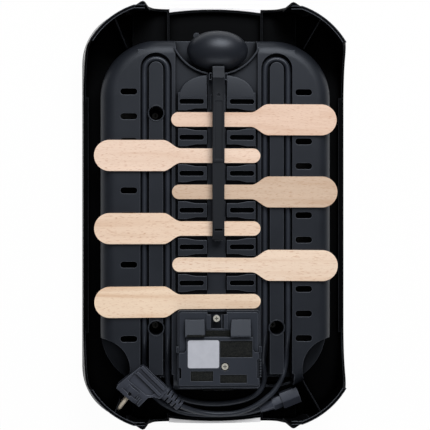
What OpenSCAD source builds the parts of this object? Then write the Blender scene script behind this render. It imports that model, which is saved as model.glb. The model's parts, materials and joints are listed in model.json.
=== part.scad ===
/* [Overall] */
// Width across the collar, the widest line of the body
body_w = 337.6; // [320:0.2:360]
// Length over the collar
body_l = 527.6; // [510:0.2:560]
// Height from the plate's rim to the feet
body_h = 105; // [100:1:120]
// Corner radius of the collar
collar_r = 69.8; // [60:0.1:80]

/* [Shells] */
// Thickness of the moulded walls
wall = 3; // [2.4:0.1:3.6]
// Half width of the feet, outside
foot_half_w = 159; // [154:0.5:162]
// Half length of the feet, outside
foot_half_l = 255.4; // [250:0.2:258]
// Radius of each foot's outer arc
foot_r = 101; // [95:0.5:104]
// Height of the long sides' lip
side_edge_z = 29; // [26:0.5:36]
// Height of the wall between the feet at each end
end_edge_z = 45; // [42:0.5:50]
// Height of the ledge inside each end
ledge_z = 37; // [35:0.5:39]
// Half width of the handle zone at each end
handle_half_w = 58; // [50:1:64]

/* [Tray] */
// Width of the storage tray
tray_w = 289; // [284:0.5:292]
// Length of the storage tray
tray_l = 438; // [430:1:440]
// Corner radius of the tray
tray_r = 72; // [66:0.5:76]
// Height of the tray's floor
tray_z = 73; // [72:0.5:76]
// Radius of the tray's shoulder
shoulder_r = 18.5; // [15:0.5:20]
// Thickness of the tray's moulding
tray_t = 2.5; // [2:0.1:3]
// Distance from the middle to each cord channel's centre line
channel_x = 75.3; // [74:0.1:77]
// Width across one cord channel and its island
channel_w = 39.3; // [38:0.1:41]
// Width of the island inside a cord channel
island_w = 17; // [16:0.1:18]
// Depth of the cord channels
channel_deep = 8.6; // [8:0.1:10]
// Width of the central recess
recess_w = 103; // [100:0.5:106]
// Spacing of the vent slots
vent_step = 30.7; // [30:0.1:32]
// Length of a vent slot
vent_l = 21; // [18:0.5:22]
// Width of a vent slot
vent_w = 7.8; // [6:0.1:8]

/* [Spatulas] */
// Length of a spatula
spatula_l = 206.5; // [200:0.5:210]
// Width of a spatula's blade
blade_w = 38.5; // [34:0.5:39]
// Width of a spatula's handle
grip_w = 18; // [16:0.5:19]
// Thickness of a spatula
spatula_t = 3.3; // [2.5:0.1:3.5]

/* [Ladle] */
// Length of the ladle's bowl, across the body
bowl_l = 76.2; // [70:0.2:78]
// Width of the ladle's bowl
bowl_w = 49.5; // [44:0.5:50]
// Wall of the ladle's bowl
bowl_t = 2; // [1.6:0.1:2.6]
// Width of the ladle's handle
ladle_grip_w = 14.6; // [12:0.5:15]

/* [Plate] */
// Diameter of a baking well
well_d = 120; // [110:1:124]
// Depth of a baking well
well_deep = 2.5; // [1.5:0.1:3]
// Thickness of the cooking plate
plate_t = 6; // [5:0.5:8]
// Height of the plate's raised rim
rim_h = 4; // [3:0.5:5]

/* [Cord] */
// Diameter of the mains cord
cord_d = 6.6; // [6:0.1:7]

/* [Hidden] */
$fn = 96;

black = [0.03, 0.03, 0.035];
satin = [0.09, 0.1, 0.12];
beech = [0.9, 0.78, 0.66];
steel = [0.72, 0.72, 0.72];
silver = [0.85, 0.85, 0.87];

eps = 0.01;
collar_top = 20;
corner_x = body_w / 2 - collar_r;
corner_y = body_l / 2 - collar_r;
flange_z = collar_top;
flange_t = 2.5;
tray_foot = flange_z + flange_t;
tray_cx = tray_w / 2 - tray_r;
tray_cy = tray_l / 2 - tray_r;
flat_r = tray_r - shoulder_r;
channel_floor = tray_z - channel_deep;
channel_top_y = 182.4;
channel_end_y = -208;
lane_w = (channel_w - island_w) / 2;
lane_x = (channel_w + island_w) / 4;
boss_ys = [126.8, -140.3];
boss_r = 10.2;
boss_hole_r = 8.8;
recess_z = 69.5;
spine_half = 11.2;
spatula_z = tray_z + 0.3;
plate_top = rim_h + plate_t;
plate_inset = 9.8;
post_top = 18;
shield_t = 1;

// Flat rectangle with round corners, by its half sizes
module rounded(half_x, half_y, r) {
    square([2 * half_x, 2 * (half_y - r)], center = true);
    square([2 * (half_x - r), 2 * half_y], center = true);
    for (sx = [-1, 1], sy = [-1, 1])
        translate([sx * (half_x - r), sy * (half_y - r)]) circle(r);
}

// Solid block with round vertical corners, from z0 to z1
module slab(half_x, half_y, r, z0, z1) {
    translate([0, 0, z0]) linear_extrude(z1 - z0) rounded(half_x, half_y, r);
}

// Sweeps a profile round a rectangle of corner centres; its x runs outwards from them
module around(cx, cy) {
    for (quarter = [0 : 3]) {
        sx = quarter == 0 || quarter == 3 ? 1 : -1;
        sy = quarter < 2 ? 1 : -1;
        translate([sx * cx, sy * cy, 0]) rotate([0, 0, 90 * quarter]) rotate_extrude(angle = 90) children();
    }
    for (turn = [0, 180]) rotate([0, 0, turn]) {
        translate([cx, 0, 0]) rotate([90, 0, 0]) linear_extrude(2 * cy, center = true) children();
        translate([0, cy, 0]) rotate([90, 0, 90]) linear_extrude(2 * cx, center = true) children();
    }
}

// Slot with round ends along X
module slot(length, width, z0, z1) {
    translate([0, 0, z0]) linear_extrude(z1 - z0) {
        square([length - width, width], center = true);
        for (s = [-1, 1]) translate([s * (length - width) / 2, 0]) circle(width / 2, $fn = 32);
    }
}

// Block between two corners
module block(from, to) {
    translate(from) cube(to - from);
}

module mirrored_x() {
    for (s = [0, 1]) mirror([s, 0, 0]) children();
}

module mirrored_y() {
    for (s = [0, 1]) mirror([0, s, 0]) children();
}

// ---- Storage tray ----

module tray_profile() {
    difference() {
        union() {
            square([flat_r, tray_z]);
            translate([flat_r, tray_z - shoulder_r]) circle(shoulder_r);
            square([tray_r, tray_z - shoulder_r]);
        }
        translate([-1, 0]) square([flat_r + 1, tray_z - tray_t]);
        translate([flat_r, tray_z - shoulder_r]) circle(shoulder_r - tray_t);
        square([tray_r - tray_t, tray_z - shoulder_r]);
        translate([-1, -1]) square([tray_r + 2, tray_foot + 1]);
    }
}

// Height of a cord lane's floor where it ramps down to the end trough
lane_low_z = 37.5;
ramp_start_y = -138;
ramp_end_y = -186;
mouth_y = -198;

module lane_ramp() {
    rotate([90, 0, 90]) linear_extrude(lane_w, center = true)
        polygon([
            [ramp_start_y, channel_floor], [ramp_end_y, lane_low_z], [-tray_l / 2 - 5, lane_low_z],
            [-tray_l / 2 - 5, tray_z + 5], [ramp_start_y, tray_z + 5]
        ]);
}

module channel_cut() {
    difference() {
        translate([0, 0, channel_floor]) linear_extrude(tray_z) {
            translate([0, channel_top_y]) circle(channel_w / 2);
            translate([-channel_w / 2, -tray_l / 2 - 5]) square([channel_w, channel_top_y + tray_l / 2 + 5]);
        }
        translate([0, 0, channel_floor - 1]) linear_extrude(tray_z + 2 - channel_floor) {
            translate([0, channel_top_y]) circle(island_w / 2);
            translate([-island_w / 2, channel_end_y]) square([island_w, channel_top_y - channel_end_y]);
        }
    }
    for (s = [-1, 1]) translate([s * lane_x, 0, 0]) lane_ramp();
    block([-22, -tray_l / 2 - 5, lane_low_z], [22, mouth_y, tray_z + 5]);
}

// Bay that the stored plug lies in
module plug_bay() {
    translate([0, 0, 51.5]) linear_extrude(40)
        polygon([[-127, -216], [-95, -187.5], [-82, -199.5], [-59, -221], [-80, -245], [-110, -245]]);
    for (gap = [[-0.6, 0, 0], [0.6, 0, 0], [0, 0.6, 0]]) translate(gap) plug_block(-13.6, 40);
}

module boss_at(y) {
    translate([channel_x, y, 0]) children();
}

// Raised block between two spatula handles, wider at its outer end
module cradle(y) {
    translate([0, y, recess_z - 1]) linear_extrude(tray_z + 5 - recess_z + 1)
        polygon([
            [12.5, -8.5], [26, -8.5], [38, -10.9], [48, -10.9],
            [48, 10.9], [38, 10.9], [26, 8.5], [12.5, 8.5]
        ]);
}

cradle_ys = [141.1, 96.6, 52, 6.2, -39.4, -84.1];
cradle_slot_x = 31.3;
cradle_slot_l = 30.6;
cradle_slot_w = 6.4;
cradle_slot_z = 67.5;
recess_end_y = -113;
plateau_y = 129.5;
plateau_r = 47;
plateau_rise = 5;
plateau_top_z = tray_z + 4.6;
seat_y = 233.5;
seat_r = 57.5;
seat_half_w = 51;
seat_z = 52;
housing_x = 2;
housing_w = 102;
scoop_floor_z = 25;
housing_y0 = -214;
housing_y1 = -117.4;

// Pan with its round shoulder, and the thick bed that the channels are sunk in
module tray_pan() {
    around(tray_cx, tray_cy) tray_profile();
    block([-tray_cx, -tray_cy, tray_z - tray_t], [tray_cx, tray_cy, tray_z]);
    block([-98, -206, 60], [98, 206, tray_z - 1.5]);
    mirrored_x() block([52, -206, 34.5], [98, -137, 61]);
}

// Walls of the two scoops in the lower corners
module scoop_walls() {
    intersection() {
        mirrored_x() translate([146, -192, tray_foot]) cylinder(r = 41, h = 46);
        union() {
            slab(tray_w / 2 - 2, tray_l / 2 - 2, tray_r - 2, tray_foot, 62);
            slab(tray_w / 2 - 8, tray_l / 2 - 8, tray_r - 8, 61, 69);
        }
    }
}

// Central recess under the spatula handles, up to the ladle's seat
module recess_cut() {
    block([-recess_w / 2, recess_end_y, recess_z], [recess_w / 2, 207.2, tray_z + 5]);
}

// Plan of the ladle's seat, grown by a margin
module seat_plan(margin) {
    intersection() {
        translate([0, seat_y]) circle(seat_r + margin);
        translate([-seat_half_w - margin, 100]) square([2 * (seat_half_w + margin), 130]);
    }
}

// Floor and side walls under the ladle's seat
module seat_pan() {
    intersection() {
        translate([0, 0, seat_z - tray_t]) linear_extrude(62 - seat_z + tray_t) seat_plan(tray_t);
        slab(tray_w / 2 - 2, tray_l / 2 - 2, tray_r - 2, 0, 62);
    }
}

module seat_cut() {
    translate([0, 0, seat_z]) linear_extrude(60) seat_plan(0);
}

// Low dome on a round step
module plateau_dome() {
    dome_r = (plateau_r * plateau_r + plateau_rise * plateau_rise) / (2 * plateau_rise);
    intersection() {
        translate([0, plateau_y, recess_z - 1]) cylinder(r = plateau_r, h = 20);
        translate([0, plateau_y, plateau_top_z - dome_r]) sphere(dome_r, $fn = 180);
    }
}

// Bead round the ladle's seat
module seat_bead() {
    intersection() {
        translate([0, 0, recess_z - 1]) linear_extrude(tray_z + 1.4 - recess_z + 1) difference() {
            seat_plan(1.7);
            seat_plan(0);
        }
        union() {
            block([-recess_w / 2 - 2, 150, 0], [-spine_half, 209, 100]);
            block([spine_half, 150, 0], [recess_w / 2 + 2, 209, 100]);
        }
    }
}

module cradles() {
    seat_bead();
    for (y = cradle_ys) mirrored_x() difference() {
        cradle(y);
        translate([cradle_slot_x, y, 0]) slot(cradle_slot_l, cradle_slot_w, cradle_slot_z, 90);
    }
    block([-spine_half, recess_end_y, recess_z - 1], [spine_half, 175.5, tray_z]);
    // Half-round plateau below the ladle's neck
    difference() {
        plateau_dome();
        block([-100, 0, 0], [100, cradle_ys[0], 100]);
        block([-12.5, 100, 0], [12.5, 200, 100]);
        mirrored_x() translate([cradle_slot_x, cradle_ys[0], 0])
            slot(cradle_slot_l, cradle_slot_w, cradle_slot_z, 90);
    }
}

module storage_tray() {
    color(satin) difference() {
        union() {
            difference() {
                union() {
                    tray_pan();
                    scoop_walls();
                    seat_pan();
                }
                mirrored_x() translate([channel_x, 0, 0]) channel_cut();
                recess_cut();
                seat_cut();
                mirrored_x() for (i = [-5 : 5])
                    translate([109.1, i * vent_step, 0]) slot(vent_l, vent_w, 60, 80);
                plug_bay();
                mirrored_x() translate([146, -192, scoop_floor_z]) cylinder(r = 38.5, h = 100);
                block([housing_x - 19, -tray_l / 2 - 1, 48], [housing_x + 19, -188, tray_z - tray_t]);
            }
            cradles();
            mirrored_x() for (y = boss_ys) boss_at(y)
                translate([0, 0, post_top + shield_t]) cylinder(r = boss_r, h = tray_z - post_top - shield_t);
        }
        mirrored_x() for (y = boss_ys) boss_at(y) {
            translate([0, 0, 26]) cylinder(r = boss_hole_r, h = 60);
            cylinder(r = 2.3, h = 60);
        }
    }
}

// ---- Shells ----

// Outside of the body from the collar up to the feet, drawn in by an inset
module body_loft(inset) {
    hull() {
        translate([0, 0, collar_top]) linear_extrude(eps)
            rounded(body_w / 2 - 1 - inset, body_l / 2 - 1 - inset, collar_r - 1 - inset, $fn = 72);
        translate([0, 0, body_h - eps]) linear_extrude(eps) intersection() {
            square([2 * (foot_half_w - inset), 2 * (foot_half_l - inset)], center = true);
            rounded(70 + foot_r - inset, 160 + foot_r - inset, foot_r - inset, $fn = 96);
        }
    }
}

// Opening between the feet along each long side
module side_arch() {
    arch_r = 70;
    rotate([90, 0, 90]) linear_extrude(body_w + 20, center = true) {
        translate([-142, side_edge_z]) square([284, 100]);
        for (s = [-1, 1]) translate([s * 142, side_edge_z + arch_r]) circle(arch_r);
        translate([-142 - arch_r, side_edge_z + arch_r]) square([2 * (142 + arch_r), 50]);
    }
}

// Opening between the feet at each end
module end_arch() {
    corner = 20;
    rotate([90, 0, 0]) linear_extrude(body_l + 40, center = true) {
        translate([-60, end_edge_z]) square([120, 100]);
        for (s = [-1, 1]) translate([s * 60, end_edge_z + corner]) circle(corner);
        polygon([[-79.6, 62], [79.6, 62], [90.5, body_h + 1], [-90.5, body_h + 1]]);
    }
}

// Plan of everything that belongs to the right-hand side shell
module side_region() {
    translate([0, 0, -1]) linear_extrude(body_h + 10) mirrored_y()
        polygon([[57.5, -1], [57.5, 101], [109, 207], [126, 242], [160, 312], [200, 312], [200, -1]]);
}

// Flared tips of the legs beside the arch at each end, and the hollow inside them
module leg_tips() {
    mirrored_x() hull() {
        translate([0, 0, 74]) linear_extrude(eps)
            polygon([[112, 248], [104, 253.4], [97, 256.8], [91, 257.8], [84, 256.8], [80, 254.4], [80, 248]]);
        translate([0, 0, body_h - 2.6]) linear_extrude(eps) polygon([
            [112, 247], [110, 250], [103.4, 252.9], [99.7, 254.8], [97, 257.7], [94.8, 260.2], [92.4, 261.1],
            [90, 260.4], [88, 258.4], [86, 254], [86, 248]
        ]);
    }
}

module tip_hollows() {
    mirrored_x() hull() {
        translate([0, 0, 74]) linear_extrude(eps)
            polygon([
                [112, 244.8], [104, 250.2], [97, 253.6], [91, 254.6],
                [84, 253.6], [78, 251], [78, 238], [112, 238]
            ]);
        translate([0, 0, body_h]) linear_extrude(eps) polygon([
            [112, 246.6], [104.3, 250.4], [101.2, 252.3], [98.8, 255.2], [96.2, 257.6], [93, 258.6], [91.2, 258],
            [89.8, 256.6], [87.6, 252], [87.6, 238], [112, 238]
        ]);
    }
}

// Upright web along the joint between two shells, from the tray to a leg's wall
module corner_web() {
    translate([109, 207, 0]) rotate([90, 0, 64.1]) linear_extrude(1.4)
        polygon([
            [3.2, tray_foot - 0.5], [50.8, tray_foot - 0.5], [39, body_h - 3],
            [34, body_h - 10], [12, 66], [3.2, 58]
        ]);
}

module wall_ring() {
    difference() {
        body_loft(0);
        body_loft(wall);
    }
}

module flange() {
    difference() {
        slab(body_w / 2 - 2, body_l / 2 - 2, collar_r - 2, flange_z, tray_foot);
        slab(tray_w / 2 - 6, tray_l / 2 - 6, tray_r - 6, flange_z - 1, tray_foot + 1);
    }
}

module side_lip() {
    block([body_w / 2 - 8.4, -150, side_edge_z - 3], [body_w / 2 - 3, 150, side_edge_z]);
}

module side_shell() {
    color(black) union() {
        difference() {
            intersection() {
                wall_ring();
                side_region();
            }
            side_arch();
        }
        intersection() {
            flange();
            side_region();
        }
        side_lip();
        mirrored_y() corner_web();
    }
}

module side_shell_right() {
    side_shell();
}

module side_shell_left() {
    difference() {
        mirror([1, 0, 0]) side_shell();
        plug_bay();
    }
}

handle_arc_r = 400;
handle_arc_y = 260.6 - handle_arc_r;
trim_arc_r = 1100;
trim_arc_y = body_l / 2 - trim_arc_r;

// Everything outside the curved wall of the handle zone
module handle_zone(half_w) {
    difference() {
        block([-half_w, 240, flange_z - 1], [half_w, 280, 120]);
        translate([0, handle_arc_y, 0]) cylinder(r = handle_arc_r, h = 200, $fn = 256);
    }
}

module end_wall(cheek_y) {
    difference() {
        union() {
            difference() {
                wall_ring();
                block([-handle_half_w, 200, flange_z - 1], [handle_half_w, 300, 120]);
            }
            // Curved wall behind the handle trim
            intersection() {
                difference() {
                    translate([0, handle_arc_y, flange_z]) cylinder(r = handle_arc_r, h = 40, $fn = 256);
                    translate([0, handle_arc_y, 0]) cylinder(r = handle_arc_r - wall, h = 100, $fn = 256);
                }
                block([-handle_half_w - 1, 240, 0], [handle_half_w + 1, 280, end_edge_z]);
            }
            leg_tips();
            // Cheeks that close the ends of the handle zone
            intersection() {
                body_loft(0.2);
                mirrored_x() {
                    block([handle_half_w, tray_l / 2 + 0.3, tray_foot], [handle_half_w + 2.5, 262, ledge_z]);
                    block([handle_half_w, cheek_y, tray_foot], [handle_half_w + 2.5, 262, end_edge_z + 1]);
                }
            }
        }
        tip_hollows();
        end_arch();
        block([-200, -300, 0], [200, 180, 120]);
    }
}

module end_ledge() {
    intersection() {
        slab(body_w / 2 - 5, 257, collar_r - 5, ledge_z - tray_t, ledge_z);
        difference() {
            block([-104, tray_cy, 0], [104, 257, 60]);
            slab(tray_w / 2, tray_l / 2, tray_r, 0, 100);
            translate([0, -1, 0]) handle_zone(handle_half_w + 1);
        }
    }
}

module end_shell(cheek_y) {
    color(black) union() {
        difference() {
            union() {
                end_wall(cheek_y);
                intersection() {
                    flange();
                    block([-150, 190, 0], [150, 300, 60]);
                }
            }
            mirrored_x() side_region();
        }
        end_ledge();
    }
}

module end_shell_top() {
    end_shell(tray_l / 2 + 0.3);
}

module end_shell_bottom() {
    mirror([0, 1, 0]) end_shell(250.2);
}

// Bowed grip strip in front of the curved wall
module handle_trim() {
    color(silver) intersection() {
        translate([0, trim_arc_y, tray_foot])
            cylinder(r = trim_arc_r, h = end_edge_z - 1 - tray_foot, $fn = 256);
        handle_zone(handle_half_w);
    }
}

module handle_trim_top() {
    handle_trim();
}

module handle_trim_bottom() {
    mirror([0, 1, 0]) handle_trim();
}

// Rubber edging on the tips of the four legs
module foot_pads() {
    color(satin) difference() {
        intersection() {
            difference() {
                translate([0, 0, 0]) body_loft(-0.6);
                body_loft(wall + 0.6);
            }
            block([-200, -300, body_h - 2.5], [200, 300, body_h]);
        }
        wall_ring();
        side_arch();
        end_arch();
    }
}

// ---- Plate and its collar ----

module plate_collar() {
    color(black) around(corner_x, corner_y) {
        difference() {
            translate([collar_r - 7, 13]) circle(7);
            translate([collar_r - 20, 0]) square([20 - plate_inset, plate_top]);
        }
        translate([collar_r - plate_inset, 6]) square([2.8, 14]);
    }
}

well_xs = [-68, 68];
well_ys = [-140, 0, 140];

module cooking_plate() {
    plate_r = collar_r - plate_inset;
    color(black) difference() {
        union() {
            slab(corner_x + plate_r, corner_y + plate_r, plate_r, 0, plate_top);
            mirrored_x() for (y = boss_ys) boss_at(y) cylinder(r = 8, h = post_top);
        }
        slab(corner_x + plate_r - 5, corner_y + plate_r - 5, plate_r - 5, -1, rim_h);
        for (x = well_xs, y = well_ys) translate([x, y, rim_h - eps])
            cylinder(r1 = well_d / 2, r2 = well_d / 2 - 2, h = well_deep);
        mirrored_x() for (y = boss_ys) boss_at(y) translate([0, 0, 9]) cylinder(r = 1.9, h = 20);
    }
}

element_r = 3.3;
element_z = plate_top + element_r;

// One loop of sheathed tube lying on the plate
module heating_element() {
    color(steel) translate([0, 0, element_z]) {
        around(70, 160) translate([35, 0]) circle(element_r, $fn = 32);
        for (x = [-14, 14]) translate([x, -195, 0]) rotate([-90, 0, 0])
            cylinder(r = element_r - 0.3, h = 30, $fn = 32);
    }
}

module element_brackets() {
    color(steel) for (y = [-100, 0, 100], s = [-1, 1]) translate([s * 105, y, 0]) {
        block([-12, -6, plate_top], [-element_r, 6, plate_top + 1.2]);
        block([element_r, -6, plate_top], [12, 6, plate_top + 1.2]);
        translate([0, 0, element_z]) rotate([90, 0, 0]) linear_extrude(12, center = true) difference() {
            circle(element_r + 1.2, $fn = 32);
            circle(element_r, $fn = 32);
            translate([-10, -20]) square([20, 20 - element_r + 1.2]);
        }
    }
}

module heat_shield() {
    color(steel) difference() {
        slab(tray_w / 2 + 6, tray_l / 2 + 6, tray_r + 6, post_top, post_top + shield_t);
        mirrored_x() for (y = boss_ys) boss_at(y) cylinder(r = 2.3, h = 60);
        for (x = [-14, 14]) translate([x, -170, 0]) cylinder(r = 4, h = 60);
    }
}

// ---- Electrical parts inside ----

module thermostat() {
    color(steel) translate([40, 60, post_top + shield_t]) {
        cylinder(r = 9, h = 7);
        cylinder(r = 6.5, h = 10);
        for (s = [-1, 1]) translate([s * 11, 0, 5]) cube([8, 6, 0.8], center = true);
    }
}

module thermal_fuse() {
    color(steel) translate([-40, 60, post_top + shield_t]) {
        translate([-7, 0, 2.2]) rotate([0, 90, 0]) cylinder(r = 2.2, h = 14);
        translate([-3, -6, 0]) cube([6, 12, 1.2]);
    }
}

wire_x = 14;
wire_y = -170;
wire_z = 56;
wire_r = 1.6;

// Leads from the inlet down to the two ends of the element
module internal_wiring() {
    color(satin) for (s = [-1, 1]) translate([s * wire_x, 0, 0]) {
        translate([0, wire_y, element_z + element_r - 0.3])
            cylinder(r = wire_r, h = wire_z - element_z - 3, $fn = 24);
        translate([0, wire_y, wire_z]) sphere(wire_r, $fn = 24);
        translate([0, inlet_back_y, wire_z]) rotate([-90, 0, 0])
            cylinder(r = wire_r, h = wire_y - inlet_back_y, $fn = 24);
    }
}

// ---- Control housing ----

housing_z = 84;
cover_z = 88;
cover_base_z = 85.8;
housing_half_w = housing_w / 2;
housing_mid_y = (housing_y0 + housing_y1) / 2;
housing_half_l = (housing_y1 - housing_y0) / 2;
housing_r = 4;
housing_t = 2.2;
inlet_back_y = -190;
inlet_face_y = -218;
inlet_half_w = 19;
inlet_z0 = 48;
inlet_z1 = tray_z - tray_t;
inlet_z = 59;
screw_spots = [[-0.9, -127.4], [9.4, -186.8]];
screw_seats = [cover_base_z - 1.4, cover_z - 3];
label_x = -17.2;
label_y = -171.2;
label_w = 38.7;
label_l = 34.2;
label_r = 2.5;

module housing_outline(inset) {
    translate([housing_x, housing_mid_y])
        rounded(housing_half_w - inset, housing_half_l - inset, housing_r - inset / 2, $fn = 48);
}

// Solid of the tray's outside, which the housing sits over
module tray_envelope() {
    around(tray_cx, tray_cy) {
        square([flat_r, tray_z]);
        square([tray_r, tray_z - shoulder_r]);
        intersection() {
            translate([flat_r, tray_z - shoulder_r]) circle(shoulder_r);
            translate([flat_r, tray_z - shoulder_r]) square(shoulder_r);
        }
    }
    block([-tray_cx, -tray_cy, 0], [tray_cx, tray_cy, tray_z]);
}

module control_housing() {
    color(satin) difference() {
        union() {
            translate([0, 0, inlet_z1]) linear_extrude(housing_z - inlet_z1) housing_outline(0);
            // Snap hooks that hold the cover, and the grip teeth beside it
            for (x = [housing_x - housing_half_w, housing_x + housing_half_w])
                block([x - 1.8, -169.5, housing_z - 6], [x + 1.8, -162, cover_z - 0.8]);
            for (i = [0 : 6]) translate([housing_x + housing_half_w - 0.5, -200 + 3.4 * i, tray_z + 2])
                cube([2, 1.7, cover_z - tray_z - 3]);
        }
        translate([0, 0, tray_z]) linear_extrude(housing_z) housing_outline(housing_t);
        tray_envelope();
        latch_opening();
    }
}

// Opening for the latch at the upper edge of the housing
module latch_opening() {
    block([-12.2, -122.6, housing_z - 6], [11.8, -110, 100]);
}

// Outline of the cover's raised panel, narrower beside the ramps
module panel_outline() {
    polygon([
        [-38.4, -150.5], [-38.4, -166], [-41, -169.5], [-47.6, -169.5], [-47.6, -187.5], [-44.6, -188.6],
        [-44.6, -200.6], [-47.6, -201.7], [-47.6, -210], [51, -210], [51, -201.7], [48.6, -200.6],
        [48.6, -178.5], [51, -177.4], [51, -169.5], [46.5, -169.5], [44.1, -166], [44.1, -150.5]
    ]);
}

// Wedge that rises away from the last spatula
module cover_ramp(x0, x1, skew) {
    difference() {
        translate([0, 0, cover_base_z - eps]) rotate([90, 0, 90]) translate([0, 0, x0]) linear_extrude(x1 - x0)
            polygon([[-150, 0], [-128.8, 0], [-128.8, 1.2], [-148.4, 6.4], [-150, 6]]);
        translate([x0 - 10, -139.5, 0]) rotate([0, 0, skew]) translate([-5, -30, 0]) cube([15, 60, 120]);
    }
}

module cover_recess(x0, y0, x1, y1, deep) {
    block([x0, y0, cover_z - deep], [x1, y1, cover_z + 5]);
}

module housing_cover() {
    color(satin) difference() {
        union() {
            translate([0, 0, housing_z]) linear_extrude(cover_base_z - housing_z)
                housing_outline(housing_t + 0.3);
            translate([0, 0, housing_z]) linear_extrude(cover_z - housing_z) panel_outline();
            translate([screw_spots[0][0], screw_spots[0][1], tray_z])
                cylinder(r = 4.6, h = cover_base_z - tray_z - 1.4);
            cover_ramp(-39.9, -16.1, 0);
            cover_ramp(16.3, 41, -7);
            // Ledges beside the upper screw
            for (x = [-13.4, 8]) block([x, -140.5, housing_z], [x + 5, -122, cover_base_z + 0.8]);
            // Lip along the lower edge
            block([-46, -213, housing_z], [50, -209, cover_z - 2]);
        }
        translate([label_x, label_y, cover_z - 1]) linear_extrude(5)
            rounded(label_w / 2 + 0.2, label_l / 2 + 0.2, label_r, $fn = 32);
        cover_recess(3.3, -175.3, 43.4, -155, 0.9);
        cover_recess(-33, -204.5, -5.3, -192.2, 0.9);
        cover_recess(3.3, -206.9, 36.4, -196.9, 0.9);
        block([-14.5, -149.5, cover_base_z - 0.7], [16, -142, cover_z + 5]);
        difference() {
            block([-8.4, -139.7, 0], [5.2, -122, 100]);
            translate([screw_spots[0][0], screw_spots[0][1], 0]) cylinder(r = 4.6, h = cover_base_z - 1.4);
        }
        block([6, -139.7, cover_base_z - 1.6], [8, -122, 100]);
        latch_opening();
        // Notch through the cover at its left edge
        block([-50, -201.2, 0], [-44.6, -189, 100]);
        for (spot = screw_spots) translate([spot[0], spot[1], 0]) cylinder(r = 1.9, h = 100);
        translate([screw_spots[0][0], screw_spots[0][1], cover_base_z - 1.4]) cylinder(r = 5, h = 20);
        translate([screw_spots[1][0], screw_spots[1][1], cover_z - 3]) {
            cylinder(r = 5, h = 20);
            for (a = [0 : 45 : 315]) rotate([0, 0, a]) translate([5, 0, 0]) cylinder(r = 0.9, h = 20, $fn = 16);
        }
    }
}

module rating_plate() {
    color(silver) translate([label_x, label_y, cover_z - 1]) linear_extrude(1.2)
        rounded(label_w / 2, label_l / 2, label_r, $fn = 32);
}

module screw(head_r, head_h, shank_r, shank_l) {
    difference() {
        union() {
            cylinder(r = head_r, h = head_h);
            translate([0, 0, -shank_l]) cylinder(r = shank_r, h = shank_l + eps);
        }
        for (a = [0, 90]) rotate([0, 0, a])
            translate([-head_r * 0.55, -0.5, head_h - 1]) cube([head_r * 1.1, 1, 2]);
    }
}

module housing_screws() {
    color(steel) for (i = [0, 1])
        translate([screw_spots[i][0], screw_spots[i][1], screw_seats[i]]) screw(4.1, 2, 1.8, 10);
}

module appliance_inlet() {
    color(black) difference() {
        block(
            [housing_x - inlet_half_w, inlet_face_y, inlet_z0],
            [housing_x + inlet_half_w, inlet_back_y, inlet_z1]
        );
        block([housing_x - 12.5, inlet_face_y - 1, inlet_z - 8.5], [housing_x + 12.5, -200, inlet_z + 8.5]);
    }
}

module inlet_pins() {
    color(steel) for (pin = [[-7, -2], [0, 3], [7, -2]])
        block([housing_x + pin[0] - 1, -212.5, inlet_z + pin[1] - 2.5],
              [housing_x + pin[0] + 1, -200, inlet_z + pin[1] + 2.5]);
}

module case_screws() {
    color(steel) mirrored_x() for (y = boss_ys) boss_at(y)
        translate([0, 0, 26]) screw(4, 2.6, 1.8, 16);
}

// Saddles that carry the ladle's two ends, with sprung loops and tongues beside its neck
module ladle_clips() {
    post_x = ladle_grip_w / 2 + 0.5;
    saddle_top = ladle_foot_z - 0.1;
    color(satin) translate([ladle_x, 0, 0]) {
        block([-post_x - 0.5, neck_y - 3.5, tray_z], [post_x + 0.5, neck_y + 3.5, saddle_top]);
        block([-5, ladle_end_y - 1.8, tray_z], [5, ladle_end_y + 1.5, saddle_top]);
        mirrored_x() {
            difference() {
                block([post_x, neck_y - 4, tray_z], [post_x + 3.4, neck_y + 5, tray_z + 12]);
                block([post_x + 0.9, neck_y - 2.8, tray_z + 4], [post_x + 2.5, neck_y + 3.8, tray_z + 20]);
            }
            block([post_x, 131, tray_z], [post_x + 1.6, 150, tray_z + 3]);
            block([post_x - 1, 148.6, tray_z], [post_x + 1.6, 150, tray_z + 3]);
        }
    }
}

// ---- Spatulas ----

neck_x0 = 99;
neck_x1 = 121;

function neck_half(t) = grip_w / 2 + (blade_w - grip_w) / 2 * (1 - cos(180 * t)) / 2;

function arc(cx, r, from, to, step) = [for (a = [from : step : to]) [cx + r * cos(a), r * sin(a)]];

module spatula() {
    neck = [for (t = [0 : 0.1 : 1]) [neck_x0 + (neck_x1 - neck_x0) * t, neck_half(t)]];
    color(beech) linear_extrude(spatula_t)
        polygon(concat(
            arc(grip_w / 2, grip_w / 2, 90, 270, 10),
            [for (point = neck) [point[0], -point[1]]],
            arc(spatula_l - blade_w / 2, blade_w / 2, -90, 90, 6),
            [for (i = [len(neck) - 1 : -1 : 0]) neck[i]]
        ));
}

spatula_ends = [-56.6, 54.4, -55.6, 54.6, -55.2, 54.8];
spatula_leans = [0, 0, 0, 0, -0.5, 0.3];
spatula_ys = [118.9, 74, 29, -16.5, -61.2, -106.9];

module placed_spatula(i) {
    translate([spatula_ends[i], spatula_ys[i], spatula_z])
        rotate([0, 0, (i % 2 == 0 ? 0 : 180) + spatula_leans[i]]) spatula();
}

module spatula_1() {
    placed_spatula(0);
}

module spatula_2() {
    placed_spatula(1);
}

module spatula_3() {
    placed_spatula(2);
}

module spatula_4() {
    placed_spatula(3);
}

module spatula_5() {
    placed_spatula(4);
}

module spatula_6() {
    placed_spatula(5);
}

// ---- Ladle ----

bowl_y = 205;
ladle_x = 1.3;
bowl_rim_z = 71;
ladle_z = 84;
ladle_end_y = -29.8;
neck_y = 171;
ladle_step_y = 66.3;
ladle_foot_z = spatula_z + spatula_t + 0.6;

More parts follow.
